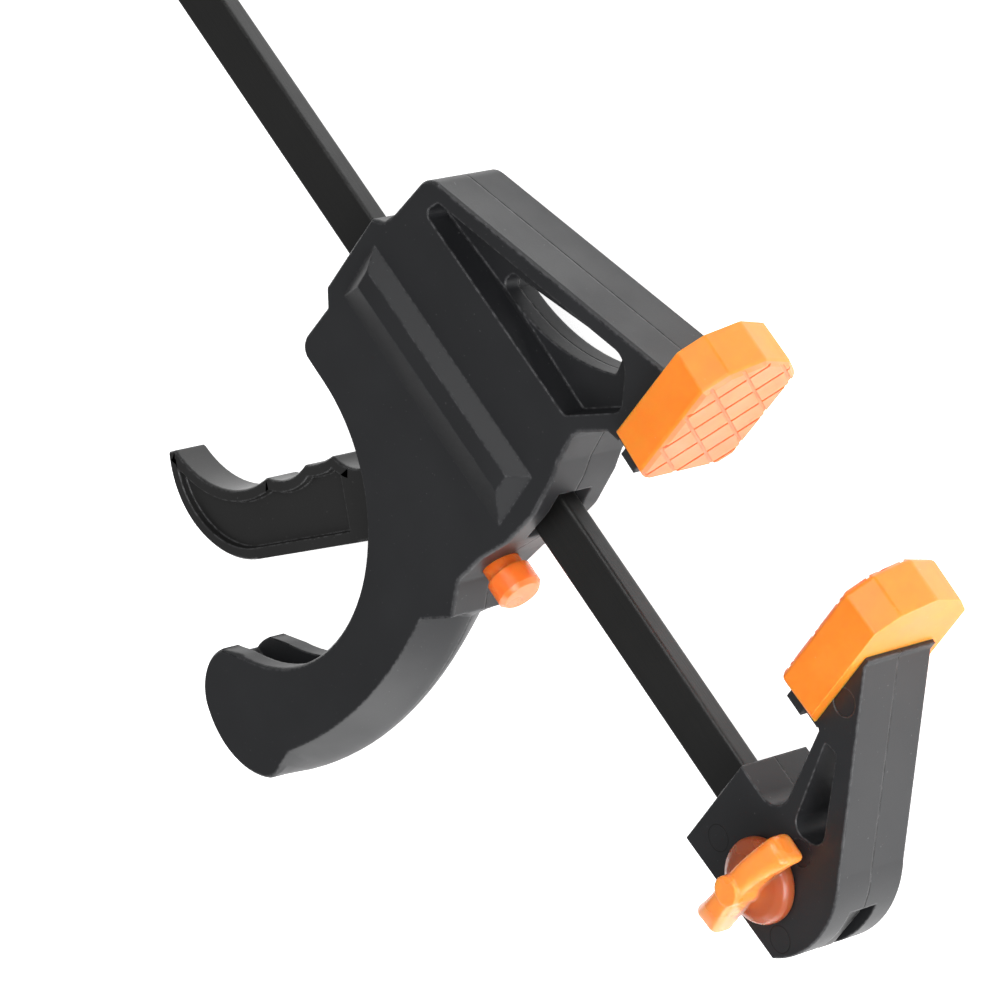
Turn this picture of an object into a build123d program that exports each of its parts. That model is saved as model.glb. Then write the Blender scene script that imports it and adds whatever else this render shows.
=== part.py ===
from build123d import *
from math import cos, hypot, pi, radians, sin, sqrt, tan
import os

# A one-handed quick release bar clamp, lying on its side.
# X runs along the bar towards the fixed jaw, Y from the bar up to the pads and Z across the
# thickness.  The origin is on the bar's centre line, in the plane of the fixed pad's face.
# Outline points of the moving jaw are given from its own datum, `opening` behind that plane.

# ---- Bar ---------------------------------------------------------------------------------
bar_height = 13.0
bar_thickness = 5.0
bar_length = 305.0
bar_edge_radius = 0.9
bar_hole_diameter = 5.4
bar_hole_inset = 16.4
bar_front = 41.3

# ---- Fits --------------------------------------------------------------------------------
sliding_fit = 0.15
seat_fit = 0.05
turning_fit = 0.08
moving_gap = 0.3

# ---- Both jaws ---------------------------------------------------------------------------
opening = 57.0
toe_in = 2.8
half_width = 10.0
edge_bevel = 0.6

# ---- Pads and the paddles that carry them ------------------------------------------------
pad_depth = 11.6
pad_half_width = 13.9
pad_bottom = 39.2
pad_top = 78.5
pad_foot_corner = 3.2
pad_draft = 1.5
pad_shoulder_height = 7.8
pad_shoulder_width = 4.9
pad_crown_height = 2.8
pad_front_bevel = 1.1
pad_groove_pitch = 7.8
pad_groove_middle = 59.6
pad_groove_width = 0.8
pad_groove_depth = 0.5
paddle_front = 3.2
paddle_back = 8.5
paddle_half_width = 11.5
paddle_bottom = 38.1
paddle_top = 74.6
stem_bottom = 38.6
stem_top = 61.6

# ---- Fixed jaw ---------------------------------------------------------------------------
jaw_pin_diameter = 6.1
jaw_pin_inset = 0.15
jaw_pin_places = [(27.5, 13.3), (13.9, 49.2)]
jaw_pin_far_depth = 5.0
jaw_sole_front = (4.0, -13.5)
jaw_sole_rear = (37.9, -12.0)
jaw_heel = (43.3, 3.0)
jaw_back_low = (38.2, 18.5)
jaw_shoulder = (18.7, 13.4)
jaw_neck = (13.2, 38.6)
jaw_shoulder_radius = 5.4
jaw_slot = [(22.6, 15.2), (31.2, 19.2), (19.9, 38.8), (16.2, 38.2)]
jaw_slot_foot_radius = 3.2
jaw_slot_top_radius = 0.8
heel_window_half_width = 4.0
heel_window_bottom = -8.5
heel_window_top = 9.5

# ---- Wing knob ---------------------------------------------------------------------------
knob_disc_diameter = 19.3
knob_disc_height = 5.0
knob_rim_height = 2.2
knob_hub_diameter = 7.0
knob_height = 11.2
wing_half_span = 16.2
wing_thickness = 4.4
wing_tip_low = 1.6
wing_tip_high = 5.6
knob_screw_diameter = 4.8
knob_screw_in_knob = 7.0
knob_nut_flats = 8.0
knob_nut_height = 4.0

# ---- Moving jaw body ---------------------------------------------------------------------
arch_angle = 17.43
arch_flange = 4.2
arch_corner_radius = 6.5
web_half_thickness = 4.0
handle_inner_radius = 42.0
spine_radius = 120.6
handle_bevel = 2.2
spine_wall = 4.0
channel_foot = -119.0
ridge_wall = 3.6
ridge_run = 4.0
mouth_flare = 3.0
mouth_depth = 4.0
rear_wall = 5.0
screw_diameter = 2.9
screw_head_diameter = 5.4
screw_head_height = 2.2
screw_head_sink = 1.0
screw_grip = 6.0

# ---- Trigger, drive plates and their spring ----------------------------------------------
trigger_half_width = 4.0
trigger_side_gap = 1.0
trigger_pin_diameter = 5.0
trigger_pin_seat = 3.0
trigger_boss_radius = 8.5
trigger_nose_radius = 3.5
trigger_travel = 24.0
drive_plate_thickness = 2.5
drive_plate_half_width = 6.5
drive_plate_top = 11.0
drive_plate_bottom = -17.0
plate_side_gap = 0.7
drive_wire = 1.2
drive_coil_gap = 0.7
drive_coil_turns = 5
spring_chamber_gap = 0.5

# ---- Brake plate, its spring and the release button --------------------------------------
brake_tilt = 4.0
brake_plate_thickness = 2.5
brake_bar_gap = 0.2
brake_wire = 0.8
brake_coil_radius = 3.0
brake_coil_turns = 4
coil_runs_per_turn = 10
wire_sides = 5
button_stem_diameter = 9.0
button_head_diameter = 11.0
button_head_length = 6.0
button_head_gap = 2.6
button_collar_size = 12.0
button_collar_thickness = 1.2
button_bevel = 1.0

# ---- Outlines, from the moving jaw's datum -----------------------------------------------
arch_front_top = (-8.9, 62.2)
rear_line_top_x = -90.2
rear_line_foot = (-92.6, 20.6)
boss_rear_top_inner = (-94.0, 16.7)
boss_rear_top = (-97.4, 14.1)
boss_rear_bottom = (-98.4, -11.0)
boss_rear_bottom_inner = (-95.2, -14.6)
body_rear_low = (-96.6, -30.0)
handle_inner_centre = (-85.0, -72.0)
hook_inner_end = (-67.5, -110.2)
hook_tip = (-71.0, -120.2)
hook_tip_end = (-65.5, -129.2)
hook_bottom = (-55.1, -132.0)
spine_start = (-34.3, -119.1)
spine_middle = (-20.1, -62.5)
spine_end = (-21.8, -42.1)
front_lip = (-20.0, -37.1)
button_face_low = (-24.0, -29.0)
button_face_high = (-22.3, -18.8)
boss_front_low = (-19.0, -9.2)
boss_front = (-17.2, 3.0)
boss_front_high = (-18.2, 14.0)
ledge = (-19.6, 19.3)
facet_top = (-20.3, 27.1)
neck_start = (-19.5, 29.8)
neck_end = (-13.0, 37.8)
trigger_pivot = (-55.0, -25.0)
trigger_nose_y = -12.0
trigger_tip = (-116.4, -93.7)
trigger_scallops = [
    ((-98.4, -86.8), (-88.6, -70.8)),
    ((-83.6, -65.6), (-81.0, -56.8)),
    ((-77.7, -52.0), (-75.6, -46.8)),
    ((-70.2, -44.4), (-66.0, -39.0)),
]
trigger_throat = (-48.3, -43.9)
trigger_back_low = (-78.1, -89.7)
trigger_heel = (-98.8, -102.6)
trigger_toe = (-117.9, -96.2)
ridge_base = (-7.5, 10.1)
ridge_crest = (1.0, 6.3)
recess_foot = 29.2
recess_rear = -85.6
recess_front_foot_x = -25.1
recess_nose = (-13.4, 44.0)
recess_front_x = -20.0
recess_rear_x = -83.8
window_front = (-24.6, 49.4)
window_rear = (-60.6, 35.4)
window_rear_foot = (-61.6, 31.0)
window_belly = (-42.0, 33.4)
window_front_foot = (-23.4, 43.7)
channel_rear = [(-66.0, -27.0), (-71.5, -33.0), (-71.5, -50.0), (-60.0, -70.0), (-80.0, -110.0)]
channel_front = [(-24.5, -45.0), (-39.0, -45.0), (-39.0, -31.0)]
channel_foot_front_x = -46.0
brake_hinge = (-32.3, 10.5)
brake_end_y = -28.2
button_y = -24.3
brake_spring_y = -13.5
screw_places = [(-88.0, 21.5), (-27.5, 21.5), (-90.0, -21.5), (-30.0, -37.5), (-47.5, -124.5)]

# ---- Values worked out from the sizes ----------------------------------------------------
bar_rear = bar_front - bar_length
jaw_front = jaw_sole_front[0]
knob_x = bar_front - bar_hole_inset
slot_height = bar_height + 2 * sliding_fit
slot_thickness = bar_thickness + 2 * sliding_fit
socket_height = bar_height + 2 * seat_fit
socket_thickness = bar_thickness + 2 * seat_fit
drive_coil_inner = hypot(bar_height, bar_thickness) / 2 + drive_coil_gap
drive_coil_radius = drive_coil_inner + drive_wire / 2
spring_chamber_radius = drive_coil_inner + drive_wire + spring_chamber_gap
ridge_height = spring_chamber_radius + ridge_wall
plates_front = trigger_pivot[0] - trigger_nose_radius - moving_gap
plates_back = plates_front - 2 * drive_plate_thickness
plate_travel = (trigger_nose_y - trigger_pivot[1]) * radians(trigger_travel)
spring_back = boss_rear_bottom[0] + rear_wall
button_chamber_front = button_face_high[0] - 4.3
brake_chamber_back = brake_hinge[0] - 9.7
channel_half_width = trigger_half_width + trigger_side_gap
jaw_datum = Vector(-opening, 0, 0)
jaw_plane = Plane(origin=jaw_datum)
fixed_face = Plane(origin=(0, 0, 0), x_dir=(0, 0, 1), z_dir=(-1, 0, 0))
moving_face = Plane(
    origin=jaw_datum, x_dir=(0, 0, -1), z_dir=(cos(radians(toe_in)), -sin(radians(toe_in)), 0)
)


def arch_top(x):
    """Height of the arch's straight top edge at x from the moving jaw's datum."""
    return arch_front_top[1] + (x - arch_front_top[0]) * tan(radians(arch_angle))


def near(shapes, *point):
    """The shape that lies closest to a point."""
    return shapes.sort_by_distance(point)[0]


def save(part, name):
    """Label one piece and write it as a STEP file."""
    part.label = name
    export_step(part, f"parts/{name}.step")


def paddle_outline(grow, bottom):
    """Sketch the shouldered outline of a pad's paddle, grown by a clearance."""
    side = paddle_half_width + grow
    with BuildSketch() as outline:
        with BuildLine():
            Polyline(
                (-side, bottom),
                (-side, paddle_top - 6.6),
                (-side + 3.7, paddle_top - 1.8 + grow),
                (0, paddle_top + grow),
                (side - 3.7, paddle_top - 1.8 + grow),
                (side, paddle_top - 6.6),
                (side, bottom),
                close=True,
            )
        make_face()
    return outline.sketch


def make_paddle(face):
    """A paddle and the stem that joins it to its jaw, behind a gripping face."""
    outline = paddle_outline(0, paddle_bottom)
    with BuildPart() as paddle:
        with BuildSketch(face.offset(-paddle_front)):
            add(outline)
        extrude(amount=-(paddle_back - paddle_front))
        with BuildSketch(face.offset(-paddle_back + 1)):
            with Locations((0, (stem_bottom + stem_top) / 2)):
                Rectangle(2 * half_width, stem_top - stem_bottom)
        extrude(amount=-(pad_depth + 2.0 - paddle_back))
    return paddle.part


# ---- Pad, drawn once with its gripping face on Plane.XY -----------------------------------
pad_pocket_outline = paddle_outline(seat_fit, pad_bottom - 5)

with BuildPart() as pad:
    with BuildSketch() as pad_outline:
        with BuildLine():
            Polyline(
                (0, pad_bottom),
                (pad_half_width, pad_bottom),
                (pad_half_width, pad_top - pad_shoulder_height),
                (pad_half_width - pad_shoulder_width, pad_top - pad_crown_height),
                (0, pad_top),
            )
            mirror(about=Plane.YZ)
        make_face()
        chamfer(pad_outline.vertices().sort_by(Axis.Y)[:2], pad_foot_corner)
    extrude(amount=-pad_depth, taper=pad_draft)
    chamfer(pad.faces().sort_by(Axis.Z)[-1].edges(), pad_front_bevel)
    with BuildSketch(Plane.XY.offset(-paddle_front + seat_fit)):
        add(pad_pocket_outline)
    extrude(amount=-(paddle_back - paddle_front + 2 * seat_fit), mode=Mode.SUBTRACT)
    stem_cut_height = stem_top + seat_fit - (pad_bottom - 5)
    with BuildSketch(Plane.XY.offset(-paddle_back)):
        with Locations((0, stem_top + seat_fit - stem_cut_height / 2)):
            Rectangle(2 * (half_width + seat_fit), stem_cut_height)
    extrude(amount=-(pad_depth - paddle_back + 1), mode=Mode.SUBTRACT)
    groove_spacing = pad_groove_pitch * sqrt(2)
    for angle, phase in ((-45, 0), (45, 0.5)):
        with BuildSketch():
            for step in range(-3, 4):
                with Locations((0, pad_groove_middle + (step - phase) * groove_spacing)):
                    Rectangle(80, pad_groove_width, rotation=angle)
        extrude(amount=-pad_groove_depth, mode=Mode.SUBTRACT)

# ---- Slide bar ---------------------------------------------------------------------------
with BuildPart() as slide_bar:
    with BuildSketch(Plane.YZ.offset(bar_rear)):
        Rectangle(bar_height, bar_thickness)
    extrude(amount=bar_length)
    fillet(slide_bar.edges().filter_by(Axis.X), bar_edge_radius)
    with BuildSketch(Plane.XY.offset(-bar_thickness)):
        with Locations((knob_x, 0), (bar_rear + bar_hole_inset, 0)):
            Circle(bar_hole_diameter / 2)
    extrude(amount=2 * bar_thickness, mode=Mode.SUBTRACT)

# ---- Fixed jaw ---------------------------------------------------------------------------
with BuildPart() as fixed_shell:
    with BuildSketch() as fixed_outline:
        with BuildLine():
            Polyline(
                jaw_sole_rear, jaw_sole_front, (jaw_front, jaw_shoulder[1]), jaw_shoulder, jaw_neck,
                (pad_depth, jaw_neck[1]), (pad_depth, stem_top), jaw_back_low,
            )
            ThreePointArc(jaw_back_low, jaw_heel, jaw_sole_rear)
        make_face()
        fillet(near(fixed_outline.vertices(), *jaw_shoulder), jaw_shoulder_radius)
        fillet(near(fixed_outline.vertices(), *jaw_neck), (jaw_neck[0] - pad_depth) / 2)
    extrude(amount=half_width)
    near_rim = fixed_shell.edges().filter_by_position(Axis.Z, half_width, half_width)
    chamfer(near_rim, edge_bevel / 2)
    with BuildSketch() as slot_outline:
        Polygon(*jaw_slot, align=None)
        fillet(slot_outline.vertices().sort_by(Axis.Y)[:2], jaw_slot_foot_radius)
        fillet(slot_outline.vertices().sort_by(Axis.Y)[-2:], jaw_slot_top_radius)
    extrude(amount=half_width, mode=Mode.SUBTRACT)
    add(make_paddle(fixed_face))
    split(bisect_by=Plane.XY, keep=Keep.TOP)
    with BuildSketch(Plane.YZ.offset(jaw_front - 1)):
        Rectangle(socket_height, socket_thickness)
    extrude(amount=bar_front - jaw_front + 1, mode=Mode.SUBTRACT)
    window_height = heel_window_top - heel_window_bottom
    with BuildSketch(Plane.YZ.offset(bar_front - 4)):
        with Locations(((heel_window_top + heel_window_bottom) / 2, 0)):
            Rectangle(window_height, 2 * heel_window_half_width)
    extrude(amount=12, mode=Mode.SUBTRACT)
    with BuildSketch():
        with Locations((knob_x, 0)):
            Circle(bar_hole_diameter / 2)
    extrude(amount=half_width, mode=Mode.SUBTRACT)

with BuildPart() as fixed_jaw_near:
    add(fixed_shell.part)
    with BuildSketch():
        with Locations(*jaw_pin_places):
            Circle(jaw_pin_diameter / 2 + seat_fit)
    extrude(amount=half_width, mode=Mode.SUBTRACT)

with BuildPart() as fixed_jaw_far:
    add(fixed_shell.part.mirror(Plane.XY))
    with BuildSketch():
        with Locations(*jaw_pin_places):
            Circle(jaw_pin_diameter / 2 + seat_fit)
    extrude(amount=-(jaw_pin_far_depth + seat_fit), mode=Mode.SUBTRACT)
    with BuildSketch(Plane.XY.offset(-half_width)):
        with Locations((knob_x, 0)):
            RegularPolygon(knob_nut_flats / 2 + seat_fit, 6, major_radius=False)
    extrude(amount=knob_nut_height + 2 * seat_fit, mode=Mode.SUBTRACT)

with BuildPart() as fixed_jaw_pins:
    with BuildSketch(Plane.XY.offset(-jaw_pin_far_depth)):
        with Locations(*jaw_pin_places):
            Circle(jaw_pin_diameter / 2)
    extrude(amount=jaw_pin_far_depth + half_width - jaw_pin_inset)

# ---- Wing knob, its screw and nut --------------------------------------------------------
knob_foot = half_width + moving_gap / 2

with BuildPart() as wing_knob:
    with BuildSketch(Plane.XZ) as knob_section:
        with BuildLine():
            rim = knob_disc_diameter / 2
            Polyline(
                (0, knob_foot + knob_disc_height),
                (0, knob_foot),
                (rim, knob_foot),
                (rim, knob_foot + knob_rim_height),
                (rim * 0.85, knob_foot + knob_disc_height * 0.75),
                (rim * 0.5, knob_foot + knob_disc_height),
                close=True,
            )
        make_face()
    revolve(axis=Axis.Z)
    with BuildSketch(Plane.YZ.offset(-wing_thickness / 2)):
        with BuildLine():
            tip_low = knob_foot + wing_tip_low
            tip_high = knob_foot + wing_tip_high
            Line((-wing_half_span, tip_low), (-wing_half_span, tip_high))
            ThreePointArc(
                (-wing_half_span, tip_high), (0, knob_foot + knob_height), (wing_half_span, tip_high)
            )
            Line((wing_half_span, tip_high), (wing_half_span, tip_low))
            ThreePointArc((wing_half_span, tip_low), (0, knob_foot + 3.4), (-wing_half_span, tip_low))
        make_face()
    extrude(amount=wing_thickness)
    fillet(wing_knob.edges().filter_by(Axis.X), 1.6)
    with BuildSketch(Plane.XY.offset(knob_foot + 1)):
        Circle(knob_hub_diameter / 2)
    extrude(amount=knob_height)
    with BuildSketch(Plane.XY.offset(knob_foot)):
        Circle(knob_screw_diameter / 2)
    extrude(amount=knob_screw_in_knob, mode=Mode.SUBTRACT)

with BuildPart() as knob_screw:
    with BuildSketch(Plane.XY.offset(-half_width + seat_fit)):
        with Locations((knob_x, 0)):
            Circle(knob_screw_diameter / 2)
    extrude(amount=half_width - seat_fit + knob_foot + knob_screw_in_knob)

with BuildPart() as knob_nut:
    with BuildSketch(Plane.XY.offset(-half_width + seat_fit)):
        with Locations((knob_x, 0)):
            RegularPolygon(knob_nut_flats / 2, 6, major_radius=False)
            Circle(knob_screw_diameter / 2 + turning_fit, mode=Mode.SUBTRACT)
    extrude(amount=knob_nut_height)

# ---- Moving jaw body ---------------------------------------------------------------------
rear_line_top = (rear_line_top_x, arch_top(rear_line_top_x))

with BuildPart() as body_shell:
    with BuildSketch(jaw_plane) as body_outline:
        with BuildLine():
            Polyline(
                spine_end, front_lip, button_face_low, button_face_high, boss_front_low, boss_front,
                boss_front_high, ledge, facet_top, neck_start, neck_end, (-9.9, 38.6), arch_front_top,
                rear_line_top, rear_line_foot, boss_rear_top_inner, boss_rear_top, boss_rear_bottom,
                boss_rear_bottom_inner, body_rear_low, (handle_inner_centre[0], body_rear_low[1]),
            )
            ThreePointArc(
                (handle_inner_centre[0], body_rear_low[1]),
                (handle_inner_centre[0] + handle_inner_radius, handle_inner_centre[1]),
                hook_inner_end,
            )
            ThreePointArc(hook_inner_end, hook_tip, hook_tip_end)
            ThreePointArc(hook_tip_end, hook_bottom, spine_start)
            ThreePointArc(spine_start, spine_middle, spine_end)
        make_face()
        fillet(near(body_outline.vertices(), *rear_line_top), arch_corner_radius)
        for corner, radius in (
            (rear_line_foot, 3), (boss_rear_top_inner, 1.0), (boss_rear_top, 1.5),
            (body_rear_low, 4.0), (hook_tip_end, 6.0),
            (button_face_low, 2.0), (boss_front_low, 6.0), (boss_front, 10.0),
            (ledge, 1.0), (neck_start, 2.0),
        ):
            fillet(near(body_outline.vertices(), *corner), radius)
    extrude(amount=half_width)
    # Broad bevel along the handle's spine, a narrow one along its inner side and the gear box
    side_edges = body_shell.edges().filter_by_position(Axis.Z, half_width, half_width)
    chamfer(near(side_edges, *(jaw_datum + Vector(*spine_middle, half_width))), handle_bevel)
    side_edges = body_shell.edges().filter_by_position(Axis.Z, half_width, half_width)
    handle_centre = jaw_datum + Vector(*handle_inner_centre, half_width)
    inner_edges = side_edges.filter_by(
        lambda edge: abs(((edge @ 0.5) - handle_centre).length - handle_inner_radius) < 0.1
    )
    rear_edges = side_edges.filter_by(lambda edge: (edge @ 0.5).Y > boss_rear_bottom_inner[1])
    front_edges = side_edges.filter_by(
        lambda edge: (edge @ 0.5).X > button_face_low[0] - opening - 1 and (edge @ 0.5).Y > front_lip[1] + 1
    )
    pad_edges = side_edges.filter_by(lambda edge: (edge @ 0.5).X > neck_end[0] - opening + 0.5)
    narrow_edges = inner_edges + rear_edges + front_edges
    chamfer(narrow_edges.filter_by(lambda edge: edge not in pad_edges), edge_bevel)

    # Ridge that houses the drive spring, sloped at both ends
    ridge_back = boss_rear_top_inner[0] + 1.3
    ridge_front = boss_front_low[0] - 4.1
    with BuildSketch(jaw_plane.offset(half_width)):
        with Locations(((ridge_back + ridge_front) / 2, (ridge_base[0] + ridge_base[1]) / 2)):
            Rectangle(ridge_front - ridge_back, ridge_base[1] - ridge_base[0])
    with BuildSketch(jaw_plane.offset(ridge_height)):
        with Locations(((ridge_back + ridge_front) / 2, (ridge_crest[0] + ridge_crest[1]) / 2)):
            Rectangle(ridge_front - ridge_back - 2 * ridge_run, ridge_crest[1] - ridge_crest[0])
    loft(ruled=True)

    # Recess in the side of the arch, and the window through its web
    recess_front_top = (recess_front_x, arch_top(recess_front_x) - arch_flange)
    recess_rear_top = (recess_rear_x, arch_top(recess_rear_x) - arch_flange)
    with BuildSketch(jaw_plane.offset(half_width)) as recess:
        Polygon(
            (recess_rear, recess_foot), (recess_front_foot_x, recess_foot), recess_nose,
            recess_front_top, recess_rear_top, align=None,
        )
        fillet(recess.vertices().sort_by(Axis.X)[:2], 1.6)
        fillet(near(recess.vertices(), recess_front_foot_x, recess_foot), 2.0)
        fillet(near(recess.vertices(), *recess_nose), 3.0)
        fillet(near(recess.vertices(), *recess_front_top), 5.0)
    extrude(amount=-(half_width - web_half_thickness), taper=4, mode=Mode.SUBTRACT)
    with BuildSketch(jaw_plane) as window:
        with BuildLine():
            Polyline(window_front_foot, window_front, window_rear, window_rear_foot)
            ThreePointArc(window_rear_foot, window_belly, window_front_foot)
        make_face()
        fillet(window.vertices(), 1.8)
    extrude(amount=half_width, mode=Mode.SUBTRACT)

    # Guide slot for the bar, with a flared mouth at the front
    with BuildSketch(Plane.YZ.offset(boss_rear_bottom[0] - opening - 1)):
        Rectangle(slot_height, slot_thickness)
    extrude(amount=boss_front[0] - boss_rear_bottom[0] + 2, mode=Mode.SUBTRACT)
    with BuildSketch(Plane.YZ.offset(boss_front[0] - opening + 0.5)):
        Rectangle(slot_height + 2 * mouth_flare, slot_thickness + 2 * mouth_flare)
    with BuildSketch(Plane.YZ.offset(boss_front[0] - opening - mouth_depth)):
        Rectangle(slot_height, slot_thickness)
    loft(ruled=True, mode=Mode.SUBTRACT)

    # Round chamber for the drive spring and a square one for the drive plates
    chamber_front = trigger_pivot[0] + trigger_nose_radius + 1
    with BuildSketch(Plane.YZ.offset(spring_back - opening)):
        Circle(spring_chamber_radius)
    extrude(amount=plates_back - spring_back, mode=Mode.SUBTRACT)
    plate_half_room = drive_plate_half_width + plate_side_gap
    plates_room_back = plates_back - plate_travel - plate_side_gap
    with BuildSketch(jaw_plane):
        with BuildLine():
            Polyline(
                (plates_room_back, drive_plate_bottom - 1.5),
                (chamber_front, drive_plate_bottom - 1.5),
                (chamber_front, drive_plate_top + plate_side_gap),
                (plates_room_back, drive_plate_top + plate_side_gap),
                close=True,
            )
        make_face()
    extrude(amount=plate_half_room, mode=Mode.SUBTRACT)

    # Chamber for the brake plate, with a notch that holds the plate's top end
    brake_room = brake_plate_thickness / 2 + plate_side_gap
    brake_room_foot = button_y - button_collar_size / 2 - plate_side_gap
    with BuildSketch(jaw_plane):
        with BuildLine():
            Polyline(
                (brake_chamber_back, brake_room_foot),
                (button_chamber_front, brake_room_foot),
                (button_chamber_front, brake_hinge[1] - 2),
                (brake_hinge[0] + brake_room, brake_hinge[1] - 2),
                (brake_hinge[0] + brake_room, brake_hinge[1] + 2),
                (brake_hinge[0] - brake_room, brake_hinge[1] + 2),
                (brake_hinge[0] - brake_room, brake_hinge[1] - 2),
                (brake_chamber_back, brake_hinge[1] - 2),
                close=True,
            )
        make_face()
    extrude(amount=plate_half_room, mode=Mode.SUBTRACT)
    with BuildSketch(Plane.YZ.offset(button_chamber_front - opening - 0.5)):
        with Locations((button_y, 0)):
            Circle(button_stem_diameter / 2 + turning_fit)
    extrude(amount=12, mode=Mode.SUBTRACT)

    # Room for the trigger's head, and the channel down the handle that it folds into
    channel_back = spine_radius - spine_wall
    spine_centre_x = spine_middle[0] - spine_radius
    channel_back_middle = (spine_centre_x + channel_back, spine_middle[1])
    channel_back_low = (
        spine_centre_x + channel_back * cos(radians(20)), spine_middle[1] - channel_back * sin(radians(20))
    )
    channel_crown_front = (trigger_pivot[0] + trigger_boss_radius + 1, -slot_height / 2)
    channel_crown_rear = (channel_rear[0][0], -slot_height / 2)
    with BuildSketch(jaw_plane):
        with BuildLine():
            Polyline(
                channel_crown_front, channel_crown_rear, *channel_rear,
                (channel_rear[-1][0], channel_foot), (channel_foot_front_x, channel_foot),
            )
            ThreePointArc((channel_foot_front_x, channel_foot), channel_back_low, channel_back_middle)
            Polyline(
                channel_back_middle, *channel_front,
                (channel_crown_front[0], trigger_pivot[1]), channel_crown_front,
            )
        make_face()
    extrude(amount=channel_half_width, mode=Mode.SUBTRACT)

    # Seat of the trigger pin
    with BuildSketch(jaw_plane):
        with Locations(trigger_pivot):
            Circle(trigger_pin_diameter / 2 + seat_fit)
    extrude(amount=channel_half_width + trigger_pin_seat, mode=Mode.SUBTRACT)
    add(make_paddle(moving_face))
    split(bisect_by=Plane.XY, keep=Keep.TOP)

with BuildPart() as body_near:
    add(body_shell.part)
    with BuildSketch(jaw_plane):
        with Locations(*screw_places):
            RegularPolygon(screw_diameter / 2 + seat_fit, 6, major_radius=False)
    extrude(amount=screw_grip + 0.5, mode=Mode.SUBTRACT)

with BuildPart() as body_far:
    add(body_shell.part.mirror(Plane.XY))
    with BuildSketch(jaw_plane):
        with Locations(*screw_places):
            RegularPolygon(screw_diameter / 2 + seat_fit, 6, major_radius=False)
    extrude(amount=-half_width, mode=Mode.SUBTRACT)
    with BuildSketch(jaw_plane.offset(-half_width)):
        with Locations(*screw_places):
            Circle(screw_head_diameter / 2 + seat_fit)
    extrude(amount=screw_head_sink + screw_head_height + seat_fit, mode=Mode.SUBTRACT)

# Thread-forming screws, their shanks drawn with flats in holes of the same form
with BuildPart() as body_screws:
    with BuildSketch(jaw_plane.offset(screw_head_sink - half_width)):
        with Locations(*screw_places):
            Circle(screw_head_diameter / 2)
    extrude(amount=screw_head_height)
    with BuildSketch(jaw_plane.offset(screw_head_sink - half_width + screw_head_height / 2)):
        with Locations(*screw_places):
            RegularPolygon(screw_diameter / 2, 6, major_radius=False)
    extrude(amount=half_width - screw_head_sink - screw_head_height / 2 + screw_grip)

# ---- Trigger and its pin -----------------------------------------------------------------
pivot_x, pivot_y = trigger_pivot

with BuildPart() as trigger:
    with BuildSketch(jaw_plane) as lever_outline:
        with BuildLine():
            start = trigger_tip
            for middle, crest in trigger_scallops:
                ThreePointArc(start, middle, crest)
                start = crest
            Polyline(
                start,
                (pivot_x - trigger_boss_radius, pivot_y),
                (pivot_x + trigger_boss_radius, pivot_y),
                trigger_throat,
            )
            back = Line(trigger_throat, trigger_back_low)
            heel = TangentArc(trigger_back_low, trigger_heel, tangent=back % 1)
            TangentArc(trigger_heel, trigger_toe, tangent=heel % 1)
            Line(trigger_toe, trigger_tip)
        make_face()
        for (middle, crest), radius in zip(trigger_scallops, (1.6, 1.2, 1.2)):
            fillet(near(lever_outline.vertices(), *crest), radius)
        fillet(near(lever_outline.vertices(), *trigger_tip), 0.8)
        fillet(near(lever_outline.vertices(), *trigger_throat), 8.0)
    extrude(amount=trigger_half_width, both=True)
    side_edges = trigger.edges().filter_by(Plane.XY)
    chamfer(side_edges.filter_by(lambda edge: (edge @ 0.5).Y < -40), edge_bevel * 0.7)
    with BuildSketch(jaw_plane):
        with Locations(trigger_pivot):
            Circle(trigger_boss_radius)
        with BuildLine():
            Polyline(
                (pivot_x - trigger_nose_radius, pivot_y),
                (pivot_x + trigger_nose_radius, pivot_y),
                (pivot_x + trigger_nose_radius, trigger_nose_y),
                (pivot_x - trigger_nose_radius, trigger_nose_y),
                close=True,
            )
        make_face()
        with Locations((pivot_x, trigger_nose_y)):
            Circle(trigger_nose_radius)
    extrude(amount=trigger_half_width, both=True)
    with BuildSketch(jaw_plane.offset(-trigger_half_width)):
        with Locations(trigger_pivot):
            Circle(trigger_pin_diameter / 2 + turning_fit)
    extrude(amount=2 * trigger_half_width, mode=Mode.SUBTRACT)

with BuildPart() as trigger_pin:
    with BuildSketch(jaw_plane):
        with Locations(trigger_pivot):
            Circle(trigger_pin_diameter / 2)
    extrude(amount=channel_half_width + trigger_pin_seat - seat_fit, both=True)


# ---- Drive plates and their spring -------------------------------------------------------
def make_drive_plate(front):
    """A square steel plate round the bar, with its front face at a distance from the datum."""
    with BuildPart() as plate:
        with BuildSketch(Plane.YZ.offset(front - drive_plate_thickness - opening)) as outline:
            with Locations(((drive_plate_top + drive_plate_bottom) / 2, 0)):
                Rectangle(drive_plate_top - drive_plate_bottom, 2 * drive_plate_half_width)
            Rectangle(slot_height, slot_thickness, mode=Mode.SUBTRACT)
        extrude(amount=drive_plate_thickness)
    return plate.part


drive_plate_front = make_drive_plate(plates_front)
drive_plate_rear = make_drive_plate(plates_front - drive_plate_thickness)


def coil_points(start, end, middle_y, radius, turns):
    """Points of a coil along X, joined by short straight runs."""
    runs = turns * coil_runs_per_turn
    points = []
    for step in range(runs + 1):
        angle = 2 * pi * step / coil_runs_per_turn
        x = start + (end - start) * step / runs
        points.append((x - opening, middle_y + radius * cos(angle), radius * sin(angle)))
    return points


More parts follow.
